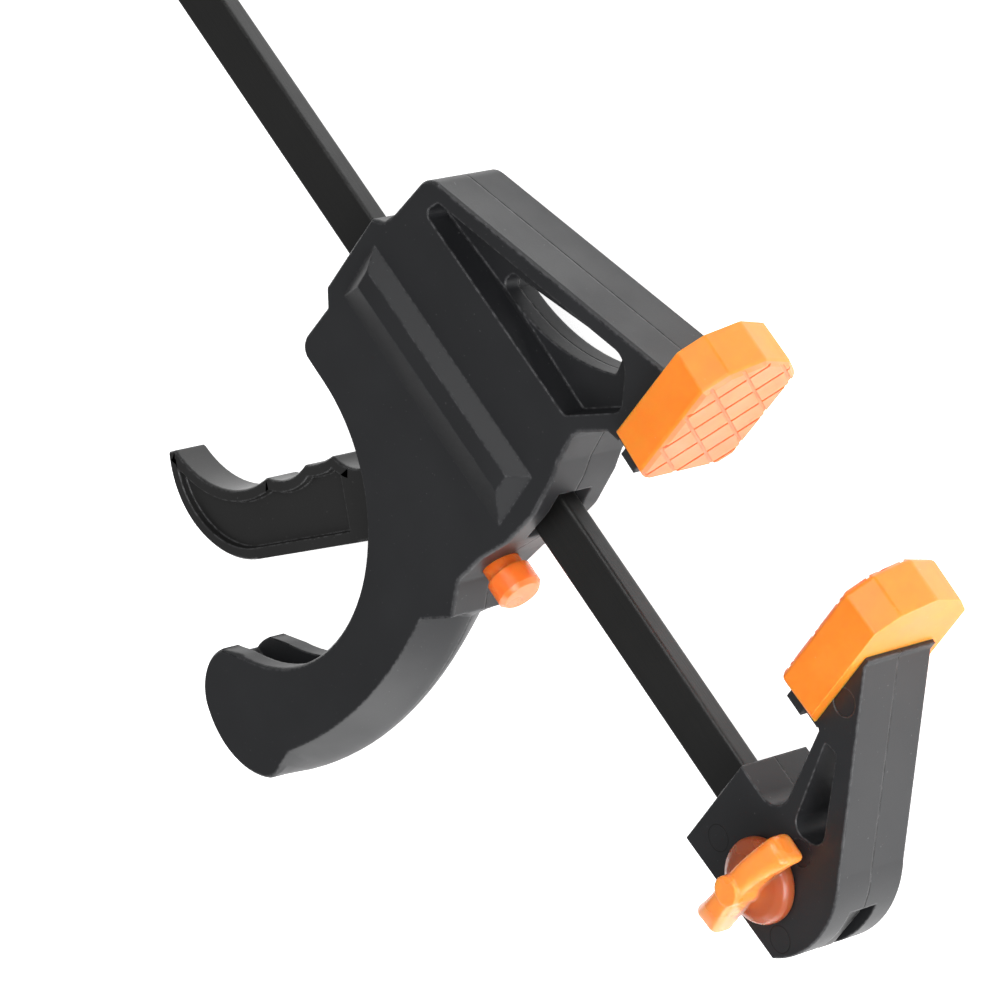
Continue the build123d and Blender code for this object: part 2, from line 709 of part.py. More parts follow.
with BuildPart() as drive_spring:
    with BuildLine() as drive_coil:
        Polyline(*coil_points(
            spring_back + drive_wire / 2, plates_back - drive_wire / 2, 0, drive_coil_radius, drive_coil_turns
        ))
    with BuildSketch(Plane(origin=drive_coil.line @ 0, z_dir=drive_coil.line % 0)):
        RegularPolygon(drive_wire / 2, wire_sides)
    sweep(transition=Transition.RIGHT)

# ---- Brake plate, its spring and the release button --------------------------------------
hinge_x, hinge_y = brake_hinge
lean = radians(brake_tilt)
brake_face = Plane(
    origin=jaw_datum + Vector(hinge_x, hinge_y, 0), x_dir=(0, 0, 1), z_dir=(cos(lean), sin(lean), 0)
)

with BuildPart() as brake_plate:
    with BuildSketch(brake_face):
        plate_foot = (hinge_y - brake_end_y) / cos(lean)
        plate_top = brake_plate_thickness / 2
        with Locations((0, (plate_foot - plate_top) / 2)):
            Rectangle(2 * drive_plate_half_width, plate_foot + plate_top)
        with Locations((0, hinge_y / cos(lean))):
            Rectangle(
                bar_thickness + 2 * brake_bar_gap,
                (bar_height + 2 * brake_bar_gap) / cos(lean) + brake_plate_thickness * tan(lean),
                mode=Mode.SUBTRACT,
            )
    extrude(amount=brake_plate_thickness / 2, both=True)
    fillet(brake_plate.edges().filter_by(Axis.Z).sort_by(Axis.Y)[-2:], brake_plate_thickness / 2 - 0.01)

with BuildPart() as brake_spring:
    plate_rear_face = hinge_x + (hinge_y - brake_spring_y) * tan(lean) - brake_plate_thickness / 2 / cos(lean)
    brake_coil_front = plate_rear_face - brake_coil_radius * tan(lean) - brake_wire / 2 - moving_gap
    with BuildLine() as brake_coil:
        brake_coil_back = brake_chamber_back + brake_wire / 2
        Polyline(*coil_points(
            brake_coil_back, brake_coil_front, brake_spring_y, brake_coil_radius, brake_coil_turns
        ))
    with BuildSketch(Plane(origin=brake_coil.line @ 0, z_dir=brake_coil.line % 0)):
        RegularPolygon(brake_wire / 2, wire_sides)
    sweep(transition=Transition.RIGHT)

with BuildPart() as release_button:
    head_back = button_face_high[0] + button_head_gap
    collar_front = button_chamber_front - turning_fit
    with BuildSketch(Plane.YZ.offset(collar_front - button_collar_thickness - opening)):
        with Locations((button_y, 0)):
            Rectangle(button_collar_size, button_collar_size)
    extrude(amount=button_collar_thickness)
    with BuildSketch(Plane.YZ.offset(collar_front - opening)):
        with Locations((button_y, 0)):
            Circle(button_stem_diameter / 2)
    extrude(amount=head_back - collar_front)
    with BuildSketch(Plane.YZ.offset(head_back - opening)):
        with Locations((button_y, 0)):
            Circle(button_head_diameter / 2)
    extrude(amount=button_head_length)
    chamfer(release_button.edges().filter_by(GeomType.CIRCLE).group_by(Axis.X)[-1], button_bevel)

# ---- Write every piece -------------------------------------------------------------------
os.makedirs("parts", exist_ok=True)
save(slide_bar.part, "slide_bar")
save(fixed_jaw_near.part, "fixed_jaw_near")
save(fixed_jaw_far.part, "fixed_jaw_far")
save(fixed_jaw_pins.part, "fixed_jaw_pins")
save(pad.part.moved(fixed_face.location), "fixed_jaw_pad")
save(wing_knob.part.moved(Location((knob_x, 0, 0))), "wing_knob")
save(knob_screw.part, "knob_screw")
save(knob_nut.part, "knob_nut")
save(body_near.part, "body_near")
save(body_far.part, "body_far")
save(body_screws.part, "body_screws")
save(pad.part.moved(moving_face.location), "moving_jaw_pad")
save(trigger.part, "trigger")
save(trigger_pin.part, "trigger_pin")
save(drive_plate_front, "drive_plate_front")
save(drive_plate_rear, "drive_plate_rear")
save(drive_spring.part, "drive_spring")
save(brake_plate.part, "brake_plate")
save(brake_spring.part, "brake_spring")
save(release_button.part, "release_button")
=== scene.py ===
# %% [markdown]
# # A quick release bar clamp, dressed in Blender
# The solids come from CAD and keep their sizes. This file gives them their finishes, remakes the
# moulded pieces in mesh code, and sets up a plain bright studio.
# Every length is in metres. X runs along the bar towards the fixed jaw, Y from the bar up to the
# pads, and Z across the thickness towards the wing knob.

# %% Load the clamp
from math import atan2, cos, hypot, radians, sin, tau

import bmesh
import bpy
from mathutils import Matrix, Vector


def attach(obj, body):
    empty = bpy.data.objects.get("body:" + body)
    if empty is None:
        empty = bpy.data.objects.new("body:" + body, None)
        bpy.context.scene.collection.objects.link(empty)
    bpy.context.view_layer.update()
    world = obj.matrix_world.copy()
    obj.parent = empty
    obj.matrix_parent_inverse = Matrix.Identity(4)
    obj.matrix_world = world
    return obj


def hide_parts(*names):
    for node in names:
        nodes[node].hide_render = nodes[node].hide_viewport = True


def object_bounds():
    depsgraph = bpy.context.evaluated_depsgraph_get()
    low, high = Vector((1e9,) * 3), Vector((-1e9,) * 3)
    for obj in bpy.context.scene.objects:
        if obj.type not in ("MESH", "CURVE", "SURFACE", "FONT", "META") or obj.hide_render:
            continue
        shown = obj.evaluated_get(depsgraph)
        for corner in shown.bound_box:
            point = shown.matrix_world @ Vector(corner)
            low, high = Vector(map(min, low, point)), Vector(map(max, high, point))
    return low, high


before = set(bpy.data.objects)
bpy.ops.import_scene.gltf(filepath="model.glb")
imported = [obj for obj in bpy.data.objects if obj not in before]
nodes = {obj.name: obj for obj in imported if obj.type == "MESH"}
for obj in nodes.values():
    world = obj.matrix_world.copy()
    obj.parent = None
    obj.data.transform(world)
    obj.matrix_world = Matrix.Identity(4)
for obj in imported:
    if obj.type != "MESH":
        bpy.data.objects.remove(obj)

cad_box = [list(corner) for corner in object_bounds()]
print("solids:", len(nodes), "box:", cad_box)

# %% [markdown]
# ## The camera
# A long lens stands well back, as in catalogue pictures, so that the bar hardly tapers. A camera
# looks along its own -Z with +Y up. Its three directions become the columns of its matrix, which
# says exactly how it is turned, where a track-to target would leave its roll open.

# %% Place the camera
camera_place = Vector((0.31589, 0.66483, 0.65225))
camera_right = Vector((0.51303161, 0.41565341, -0.75101985))
camera_back = Vector((0.39614755, 0.66153443, 0.63674117))
camera_up = camera_back.cross(camera_right)

lens = bpy.data.cameras.new("catalogue_lens")
lens.lens = 162.0
lens.sensor_width = 36.0
lens.clip_start = 0.01
camera = bpy.data.objects.new("catalogue_camera", lens)
axes = Matrix((camera_right, camera_up, camera_back)).transposed()
camera.matrix_world = Matrix.Translation(camera_place) @ axes.to_4x4()
bpy.context.scene.collection.objects.link(camera)
bpy.context.scene.camera = camera
bpy.context.scene.view_settings.view_transform = "Standard"
print("camera at", tuple(round(value, 3) for value in camera.location))

# %% [markdown]
# ## Building shader networks
# A finish is a small network of nodes. One helper adds a node, sets its options and feeds each
# input with either a number or another node's output. That keeps every finish below readable as
# a recipe. The others wrap the nodes used most: sums on values and on vectors, one range of values
# stretched onto another, cloudy noise and a blend of two colours.

# %% Helpers for shader networks
def add(tree, kind, inputs={}, **options):
    """Add a shader node; inputs are numbers, or outputs to link to."""
    made = tree.nodes.new("ShaderNode" + kind)
    for option, value in options.items():
        setattr(made, option, value)
    for socket, value in inputs.items():
        if isinstance(value, bpy.types.NodeSocket):
            tree.links.new(value, made.inputs[socket])
        else:
            made.inputs[socket].default_value = value
    return made


def stretch(tree, value, low, high, out_low=0.0, out_high=1.0):
    """Map low..high onto out_low..out_high, softly and without leaving it."""
    ends = {"From Min": low, "From Max": high, "To Min": out_low, "To Max": out_high}
    return add(
        tree, "MapRange", {"Value": value, **ends}, interpolation_type="SMOOTHSTEP"
    ).outputs["Result"]


def maths(tree, operation, first, second=0.0):
    """One sum on two values."""
    return add(tree, "Math", {0: first, 1: second}, operation=operation).outputs[0]


def vectors(tree, operation, first, second):
    """One sum on two vectors, which gives a vector or, for a dot product or distance, a value."""
    made = add(tree, "VectorMath", {0: first, 1: second}, operation=operation)
    return made.outputs["Value" if operation in ("DOT_PRODUCT", "DISTANCE") else "Vector"]


def level_of(tree, place):
    """The height Z of a place."""
    return add(tree, "SeparateXYZ", {0: place}).outputs["Z"]


def away_from(tree, place, x, y):
    """How far a place is from an upright axis."""
    flat_place = vectors(tree, "MULTIPLY", place, (1, 1, 0))
    return vectors(tree, "DISTANCE", flat_place, (x, y, 0))


def noise(tree, place, scale, detail=3.0, roughness=0.5):
    """Cloudy noise, scale cells to the metre."""
    inputs = {"Vector": place, "Scale": scale, "Detail": detail, "Roughness": roughness}
    return add(tree, "TexNoise", inputs).outputs["Fac"]


def blend_colours(tree, amount, first, second):
    """Mix two colours by an amount."""
    mixed = add(tree, "Mix", {"Factor": amount}, data_type="RGBA")
    for socket, value in ((mixed.inputs[6], first), (mixed.inputs[7], second)):
        if isinstance(value, bpy.types.NodeSocket):
            tree.links.new(value, socket)
        else:
            socket.default_value = (*value, 1.0)
    return mixed.outputs[2]


def gained(colour, gain):
    """A colour made lighter or darker."""
    return tuple(gain * part for part in colour)


print("shader helpers ready")

# %% [markdown]
# ## Starting and closing a finish
# Every finish starts the same way, with an empty material and its object coordinates, and closes
# the same way, with a colour, a roughness and a bump on the shader. The bump is laid over a
# rounded normal, so fine grain and soft edges show together.

# %% Helpers that start and close a finish
def new_finish(name):
    """An empty finish: its material, node tree, shader and object coordinates."""
    finish = bpy.data.materials.new(name)
    finish.use_nodes = True
    tree = finish.node_tree
    shader = tree.nodes["Principled BSDF"]
    return finish, tree, shader, add(tree, "TexCoord").outputs["Object"]


def close_finish(tree, shader, colour, rough, height, rounded, strength, distance):
    """Feed the shader its colour, its roughness and a bump over the rounded normal."""
    bump = add(tree, "Bump", {
        "Height": height, "Normal": rounded, "Strength": strength, "Distance": distance,
    })
    tree.links.new(colour, shader.inputs["Base Color"])
    tree.links.new(rough, shader.inputs["Roughness"])
    tree.links.new(bump.outputs[0], shader.inputs["Normal"])


print("finish helpers ready")

# %% [markdown]
# ## Worn and highlit edges
# Moulded and stamped pieces have no knife edges. The Bevel node bends the shading normal near an
# edge as a small radius would, with no change to the mesh. Where that bent normal leaves the flat
# one, there is an edge, so the same node also gives a mask for wear. On the nylon the same mask
# also lightens the edges as a painted highlight. Noise breaks the mask up, as handling never
# polishes an edge evenly.

# %% Helper for rounded edges, and for worn and highlit ones
def worn_and_highlit_edges(tree, place, radius):
    """The rounded normal and a broken-up mask of the edges."""
    rounded = add(tree, "Bevel", {"Radius": radius}, samples=6).outputs["Normal"]
    flat = add(tree, "NewGeometry").outputs["Normal"]
    edge = stretch(tree, vectors(tree, "DOT_PRODUCT", rounded, flat), 0.995, 0.93)
    patchy = stretch(tree, noise(tree, place, 700.0, 4.0), 0.35, 0.65)
    return rounded, maths(tree, "MULTIPLY", edge, patchy)


print("edge helper ready")

# %% [markdown]
# ## Seams and mould marks
# The two halves of each jaw meet at mid-thickness in a hairline seam, and the pins that push a
# moulding out of its mould leave thin rings on it. Both follow from a place alone: the seam from
# the height Z, and a ring from the distance to its centre. That saves modelling grooves which are
# finer than a tenth of a millimetre.

# %% Helpers for the seam and the ejector marks
seam_half_width = 0.0002
mark_radius = 0.00305
upper_face = (0.0090, 0.0095)


def seam_line(tree, place):
    """1 on the parting line at mid-thickness, and 0 away from it."""
    height = maths(tree, "ABSOLUTE", level_of(tree, place))
    line = stretch(tree, height, seam_half_width, seam_half_width * 0.45)
    gaps = stretch(tree, noise(tree, place, 260.0, 2.0), 0.36, 0.5, 0.35, 1.0)
    return maths(tree, "MULTIPLY", line, gaps)


def ring_marks(tree, place, centres):
    """1 on thin circles about some centres on the upper face, and 0 elsewhere."""
    marks = 0.0
    for x, y in centres:
        from_rim = maths(tree, "SUBTRACT", away_from(tree, place, x, y), mark_radius)
        ring = stretch(tree, maths(tree, "ABSOLUTE", from_rim), 0.00022, 0.00005)
        marks = maths(tree, "ADD", marks, ring)
    return maths(tree, "MULTIPLY", marks, stretch(tree, level_of(tree, place), *upper_face))


print("mark helpers ready")

# %% [markdown]
# ## Black moulded nylon
# Both jaws and the trigger are glass-filled nylon. Its skin copies the fine spark-eroded grain of
# the mould, so it is satin rather than glossy, with paler patches where the melt cooled slowly,
# rubbed edges and a little dust. The edges are lightened for wear and also as a painted highlight.
# Colour, roughness and bump all read the same object coordinates, so the pattern stays put when a
# jaw slides.

# %% Make the nylon
# The pale edge grey stands for rubbed wear and for a painted highlight along the edges.
rubbed_and_highlit_grey = (0.11, 0.11, 0.115)
dust_grey = (0.15, 0.15, 0.15)
gap_black = (0.002, 0.002, 0.002)
ejector_marks = [(0.0103, -0.0048), (0.0365, -0.0065)]


def moulded_nylon(name, tone, satin, edge_radius=0.0007, seam=True, marks=()):
    """Black nylon with grain, paler patches, rubbed edges with a painted highlight, dust and its
    parting line.
    """
    finish, tree, shader, place = new_finish(name)
    rounded, worn_and_highlit = worn_and_highlit_edges(tree, place, edge_radius)
    grain = noise(tree, place, 2600.0, 5.0, 0.6)
    cloud = noise(tree, place, 45.0, 3.0)
    speck = stretch(tree, noise(tree, place, 1300.0, 1.0), 0.75, 0.79)

    colour = blend_colours(tree, cloud, gained(tone, 0.75), gained(tone, 1.3))
    # The edge mask lightens the colour: partly rubbed wear, partly a painted highlight along the
    # edges.
    colour = blend_colours(tree, maths(tree, "MULTIPLY", worn_and_highlit, 0.6), colour, rubbed_and_highlit_grey)
    colour = blend_colours(tree, maths(tree, "MULTIPLY", speck, 0.3), colour, dust_grey)
    height = maths(tree, "MULTIPLY", grain, 0.35)
    if seam:
        lines = seam_line(tree, place)
        if marks:
            lines = maths(tree, "MAXIMUM", lines, ring_marks(tree, place, marks))
        colour = blend_colours(tree, lines, colour, gap_black)
        height = maths(tree, "SUBTRACT", height, lines)

    rough = stretch(tree, cloud, 0.3, 0.7, satin - 0.05, satin + 0.06)
    rough = maths(tree, "SUBTRACT", rough, maths(tree, "MULTIPLY", worn_and_highlit, 0.08))
    close_finish(tree, shader, colour, rough, height, rounded, 0.45, 0.00012)
    return finish


body_nylon = moulded_nylon("body_nylon", (0.012, 0.0125, 0.014), 0.45, edge_radius=0.0009)
jaw_nylon = moulded_nylon("jaw_nylon", (0.012, 0.0125, 0.014), 0.43, marks=ejector_marks)
lever_nylon = moulded_nylon("lever_nylon", (0.012, 0.012, 0.012), 0.38, seam=False)
pin_nylon = moulded_nylon("pin_nylon", (0.012, 0.012, 0.013), 0.42, 0.0003, seam=False)
print("nylon finishes made")

# %% [markdown]
# ## Steel
# The bar is cold-drawn flat steel with a thin black finish. Drawing leaves fine lines along its
# length, and the moving jaw rubs its corners. The lines are noise whose coordinates are squeezed
# along X, so that each cloud becomes a streak. The inner plates, springs, screws and pins are
# plain or plated steel: the same streaks, on a metallic shader.

# %% Make the steels
def streaked_steel(name, colour, worn_colour, metal, satin, squeeze, depth, edge_radius=0.0002):
    """Steel with streaks, squeezed along the axes given, and brighter edges."""
    finish, tree, shader, place = new_finish(name)
    rounded, worn_and_highlit = worn_and_highlit_edges(tree, place, edge_radius)
    along = add(tree, "Mapping", {"Vector": place, "Scale": squeeze}).outputs[0]
    streak = noise(tree, along, 1.0, 4.0, 0.65)
    cloud = noise(tree, place, 90.0, 3.0)
    tint = blend_colours(tree, streak, gained(colour, 0.7), gained(colour, 1.3))
    tint = blend_colours(tree, maths(tree, "MULTIPLY", worn_and_highlit, 0.7), tint, worn_colour)
    uneven = maths(tree, "ADD", streak, cloud)
    rough = stretch(tree, uneven, 0.7, 1.3, satin - 0.07, satin + 0.1)
    close_finish(tree, shader, tint, rough, streak, rounded, 0.35, depth)
    shader.inputs["Metallic"].default_value = metal
    return finish


along_bar = (25.0, 2600.0, 2600.0)
across_plate = (200.0, 2400.0, 200.0)
round_axis = (300.0, 300.0, 3000.0)
all_round = (900.0, 900.0, 900.0)
bar_steel = streaked_steel(
    "black_bar_steel", (0.007, 0.007, 0.0068), (0.16, 0.16, 0.155),
    0.0, 0.36, along_bar, 0.0001, edge_radius=0.0008,
)
plate_steel = streaked_steel(
    "stamped_steel", (0.42, 0.41, 0.4), (0.6, 0.6, 0.58), 1.0, 0.4, across_plate, 0.00005
)
bright_steel = streaked_steel(
    "turned_steel", (0.55, 0.55, 0.54), (0.7, 0.7, 0.7), 1.0, 0.25, round_axis, 0.00004
)
spring_steel = streaked_steel(
    "spring_wire_steel", (0.5, 0.5, 0.5), (0.65, 0.65, 0.65), 1.0, 0.28, all_round, 0.00003
)
zinc_steel = streaked_steel(
    "zinc_steel", (0.45, 0.46, 0.47), (0.65, 0.65, 0.65), 1.0, 0.33, all_round, 0.00004
)
print("steel finishes made")

# %% [markdown]
# ## Orange mouldings
# The pads, knob and button are orange plastic that lets some light in. Light enters, scatters
# and comes out a little way off, which lifts the shadows and warms the thin edges. Subsurface
# scattering does this, with red travelling furthest.

# %% Recipe for the orange plastics
rubbed_orange = (1.0, 0.5, 0.25)
scuffed_orange = (1.0, 0.55, 0.35)


def orange_plastic(name, colour, satin, depth, edge_radius=0.0004, coat=0.0):
    """Translucent orange plastic with faint clouds and scuffs; its shader, tint and place too."""
    finish, tree, shader, place = new_finish(name)
    rounded, worn_and_highlit = worn_and_highlit_edges(tree, place, edge_radius)
    cloud = noise(tree, place, 110.0, 2.0)
    scuff = stretch(tree, noise(tree, place, 620.0, 2.0), 0.72, 0.78)
    warm = (colour[0], 0.95 * colour[1], 0.9 * colour[2])
    pale = (colour[0], 1.05 * colour[1], 1.2 * colour[2])
    tint = blend_colours(tree, stretch(tree, cloud, 0.3, 0.7), warm, pale)
    tint = blend_colours(tree, maths(tree, "MULTIPLY", worn_and_highlit, 0.2), tint, rubbed_orange)
    tint = blend_colours(tree, maths(tree, "MULTIPLY", scuff, 0.25), tint, scuffed_orange)
    rough = stretch(tree, cloud, 0.3, 0.7, satin - 0.05, satin + 0.05)
    skin = noise(tree, place, 420.0, 3.0)
    close_finish(tree, shader, tint, rough, skin, rounded, 0.25, 0.0001)
    shader.inputs["Subsurface Weight"].default_value = 1.0
    shader.inputs["Subsurface Radius"].default_value = (1.0, 0.32, 0.1)
    shader.inputs["Subsurface Scale"].default_value = depth
    shader.inputs["Coat Weight"].default_value = coat
    shader.inputs["Coat Roughness"].default_value = 0.12
    return finish, tree, shader, tint, place


button_plastic = orange_plastic("button_plastic", (1.0, 0.19, 0.022), 0.3, 0.0015, coat=0.2)[0]
print("button plastic made")

# %% [markdown]
# ## The pads' rubber
# The gripping face of a pad is painted paler than its sides, a painted sheen of the light that
# grazes it, and the walls of its grooves a deeper orange, a painted shade down in the grooves. The
# face is found by its distance along its own normal, and a groove's wall by its true normal, which
# turns away from the face. The moving pad leans in by a few degrees, as it is made to come up
# straight when the jaws are loaded.

# %% Make the pad rubber
pad_orange = (0.97, 0.26, 0.02)
# The groove walls take a painted shade, and the gripping face a pale painted sheen.
groove_shade_orange = (0.86, 0.14, 0.03)
sheen_salmon_pair = ((0.93, 0.23, 0.075), (0.95, 0.28, 0.11))
skin_thickness = (0.0009, 0.0007)
jaw_opening = 0.057
toe_in = radians(2.8)
fixed_face = ((-1.0, 0.0, 0.0), 0.0)
moving_face = ((cos(toe_in), -sin(toe_in), 0.0), -jaw_opening * cos(toe_in))


def pad_finish(name, face):
    """Pad rubber with a painted sheen on its gripping face and a painted shade on its groove walls.
    """
    normal, distance = face
    finish, tree, shader, tint, place = orange_plastic(
        name, pad_orange, 0.4, 0.0025, edge_radius=0.0003
    )
    outer, inner = (distance - thickness for thickness in skin_thickness)
    on_face = stretch(tree, vectors(tree, "DOT_PRODUCT", place, normal), outer, inner)
    true_normal = add(tree, "NewGeometry").outputs["True Normal"]
    facing = stretch(tree, vectors(tree, "DOT_PRODUCT", true_normal, normal), 0.2, 0.6)
    # The pale salmon is a painted sheen on the face, and the deep orange a painted shade on the
    # groove walls.
    sheen_salmon = blend_colours(tree, noise(tree, place, 300.0, 3.0), *sheen_salmon_pair)
    groove_shade_or_sheen = blend_colours(tree, facing, groove_shade_orange, sheen_salmon)
    tree.links.new(blend_colours(tree, on_face, tint, groove_shade_or_sheen), shader.inputs["Base Color"])
    return finish


fixed_pad_rubber = pad_finish("fixed_pad_rubber", fixed_face)
moving_pad_rubber = pad_finish("moving_pad_rubber", moving_face)
print("pad rubber made")

# %% [markdown]
# ## The knob's plastic
# The knob is clearer than the pads. Its low disc lies close on the black jaw, which shows through
# it and turns it brown, so the disc takes a deeper colour and a share of plain transmission. The
# disc is what lies low and within its rim, and the wing above it keeps the plain orange.

# %% Make the knob plastic
knob_axis = (0.0249, 0.0)
disc_levels = (0.0162, 0.0145)
disc_rim = (0.0100, 0.0096)
disc_brown = (0.6, 0.15, 0.05)
disc_clearness = 0.45

knob_plastic, tree, shader, tint, place = orange_plastic(
    "knob_plastic", (0.95, 0.3, 0.05), 0.3, 0.0025, edge_radius=0.0002, coat=0.15
)
low = stretch(tree, level_of(tree, place), *disc_levels)
within = stretch(tree, away_from(tree, place, *knob_axis), *disc_rim)
disc = maths(tree, "MULTIPLY", low, within)
clearness = maths(tree, "MULTIPLY", disc, disc_clearness)
tree.links.new(blend_colours(tree, disc, tint, disc_brown), shader.inputs["Base Color"])
tree.links.new(clearness, shader.inputs["Transmission Weight"])
print("knob plastic made")

# %% [markdown]
# ## Dressing the solids
# A loaded solid carries one plain material. Swapping that slot's material dresses it, and its
# mesh stays as it is.

# %% Give every solid its finish
finishes = {
    body_nylon: ["body_near", "body_far"],
    jaw_nylon: ["fixed_jaw_near", "fixed_jaw_far"],
    pin_nylon: ["fixed_jaw_pins"],
    lever_nylon: ["trigger"],
    bar_steel: ["slide_bar"],
    plate_steel: ["drive_plate_front", "drive_plate_rear", "brake_plate"],
    bright_steel: ["trigger_pin", "knob_screw", "knob_nut"],
    spring_steel: ["drive_spring", "brake_spring"],
    zinc_steel: ["body_screws"],
    button_plastic: ["release_button"],
    fixed_pad_rubber: ["fixed_jaw_pad"],
    moving_pad_rubber: ["moving_jaw_pad"],
    knob_plastic: ["wing_knob"],
}
for finish, names in finishes.items():
    for name in names:
        nodes[name].data.materials[0] = finish
    print(finish.name, "->", ", ".join(names))

# %% [markdown]
# ## Remaking moulded pieces
# Moulded plastic has soft and blended corners, and light catches them. The solids keep plain
# ones, so some of them are remade: a copy of the solid's mesh is merged, its flat faces are joined
# back together, and bmesh operators finish it. Starting from the solid keeps the piece exactly on
# what carries it.
# The shading normals are set too: each corner of a face takes the mean of the faces around it that
# lean less than a limit, so arcs look round and flats stay flat. A sliver has no normal worth
# trusting, so it borrows the one of its neighbour across its longest edge.

# %% Helpers that copy a solid and stand a new piece in its place
lean_limit = cos(radians(15.0))
sliver_share = 0.02


def copy_of(node):
    """A merged copy of a solid's mesh, with its flat faces joined."""
    shape = bmesh.new()
    shape.from_mesh(nodes[node].data)
    bmesh.ops.remove_doubles(shape, verts=shape.verts, dist=1e-6)
    bmesh.ops.dissolve_limit(
        shape, angle_limit=radians(0.5), verts=shape.verts, edges=shape.edges
    )
    return shape


def corner_normals(shape):
    """A shading normal for every corner of every face."""
    normals = []
    for face in shape.faces:
        trusted = face
        longest = max(face.edges, key=lambda edge: edge.calc_length())
        if face.calc_area() < sliver_share * longest.calc_length() ** 2:
            trusted = max(longest.link_faces, key=lambda other: other.calc_area())
        for vert in face.verts:
            near = [f for f in vert.link_faces if f.normal.dot(trusted.normal) > lean_limit]
            total = sum((f.calc_area() * f.normal for f in near), trusted.normal * 1e-9)
            normals.append(total.normalized())
    return normals


def stand_in(shape, name, node, body, finish):
    """Make the finished bmesh a piece that shows instead of a solid."""
    bmesh.ops.triangulate(shape, faces=[face for face in shape.faces if len(face.verts) > 4])
    bmesh.ops.recalc_face_normals(shape, faces=shape.faces)
    shape.normal_update()
    for face in shape.faces:
        face.smooth = True
    normals = corner_normals(shape)
    mesh = bpy.data.meshes.new(name)
    shape.to_mesh(mesh)
    shape.free()
    mesh.normals_split_custom_set(normals)
    mesh.materials.append(finish)
    piece = bpy.data.objects.new(name, mesh)
    bpy.context.scene.collection.objects.link(piece)
    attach(piece, body)
    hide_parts(node)
    print(name, "has", len(mesh.polygons), "faces")
    return piece


print("piece helpers ready")

# %% [markdown]
# ## The pads
# The pads are soft blocks with broad round corners outside and thin grooves across the face. The
# edges that run back from the face take a wide rounding. The grooves keep their crisp walls, since
# a rounding would eat them.

# %% Make the pads
corner_round = 0.0022
groove_zone = 0.0007
least_turn, most_turn = radians(20), radians(80)


def soft_pad(name, node, body, finish, face):
    """A pad with broad roundings behind its face."""
    shape = copy_of(node)
    normal, distance = Vector(face[0]), face[1]

    def is_corner(edge):
        if len(edge.link_faces) != 2:
            return False
        nearest = min(distance - vert.co.dot(normal) for vert in edge.verts)
        return nearest > groove_zone and least_turn <= edge.calc_face_angle() < most_turn

    corners = [edge for edge in shape.edges if is_corner(edge)]
    bmesh.ops.bevel(
        shape, geom=corners, offset=corner_round, offset_type="OFFSET", segments=5,
        profile=0.5, affect="EDGES", clamp_overlap=True, material=-1,
    )
    stand_in(shape, name, node, body, finish)


soft_pad("fixed_pad_cap", "fixed_jaw_pad", "bar", fixed_pad_rubber, fixed_face)
soft_pad("moving_pad_cap", "moving_jaw_pad", "moving_jaw", moving_pad_rubber, moving_face)

# %% [markdown]
# ## The trigger
# The lever is moulded with a shallow pocket in each side, which saves plastic and leaves a raised
# rim. A flat cut across the lever marks where the pocket ends inside the case. The side face below
# the cut is inset twice: once flat for the rim, and once with depth for the pocket's sloped wall.
# Between the two, corners of the inner ring that crowd together are welded.

# %% Make the trigger
trigger_pivot = Vector((-0.112, -0.025, 0.0))
lever_run = Vector((-0.66, -0.75, 0.0)).normalized()
pocket_end = trigger_pivot + 0.024 * lever_run
lever_widening = 1.2
lever_side_level = 0.0045
rim_width = 0.0024
crowding = 0.0013
wall_run = 0.0003
pocket_depth = 0.0018

lever = copy_of("trigger")
bmesh.ops.scale(lever, verts=lever.verts, vec=(1.0, 1.0, lever_widening))
bmesh.ops.bisect_plane(
    lever, geom=lever.verts[:] + lever.edges[:] + lever.faces[:],
    plane_co=pocket_end, plane_no=lever_run,
)


def side_face(side):
    """The widest flat face of the lever's lower part, on one side."""
    return max(
        (
            face for face in lever.faces
            if face.normal.z * side > 0.99
            and side * face.calc_center_median().z > lever_side_level
            and (face.calc_center_median() - pocket_end).dot(lever_run) > 0.0
        ),
        key=lambda face: face.calc_area(),
    )


for side in (1.0, -1.0):
    bmesh.ops.inset_region(
        lever, faces=[side_face(side)], thickness=rim_width,
        use_even_offset=True, use_boundary=True,
    )
    bmesh.ops.remove_doubles(lever, verts=side_face(side).verts, dist=crowding)
    floor = side_face(side)
    print("pocket floor", round(floor.calc_area() * 1e6), "mm2")
    bmesh.ops.inset_region(
        lever, faces=[floor], thickness=wall_run, depth=-pocket_depth,
        use_even_offset=True, use_boundary=True,
    )
stand_in(lever, "trigger_lever", "trigger", "trigger", lever_nylon)

# %% [markdown]
# ## The handle's crowned back
# The solids have one plain bevel along the handle. The real handle is crowned: its back falls away
# from the seam to both sides in one slope, and only the hook keeps a flat back with a fine bevel.
# The back is two arcs, the spine's and the hook's, so the depth of a place under the back is the
# arc's radius less the place's distance from the arc's centre. A place goes from the hook's way to
# the spine's by its turn about the hook's centre. That keeps both edges of the bevel in step, where
# a blend along X alone would fold one over the other.

# %% Helpers that describe the handle's back
spine_centre, spine_radius = Vector((-0.19784, -0.06229)), 0.12074
hook_centre, hook_radius = Vector((-0.11163, -0.10954)), 0.02247
arcs_meet = -0.0913
crown_top = -0.0405
crown_slope = 0.72
crown_flat = 0.0022
skin_ends = (0.0027, 0.0038)
half_width, bevel_level = 0.010, 0.0078
hook_front, hook_back = -0.1035, -0.0925
turn_front, turn_back = radians(-42.0), radians(-8.0)


def blend_between(value, low, high):
    """0 below low, 1 above high and a smooth step between."""
    share = min(max((value - low) / (high - low), 0.0), 1.0)
    return share * share * (3.0 - 2.0 * share)


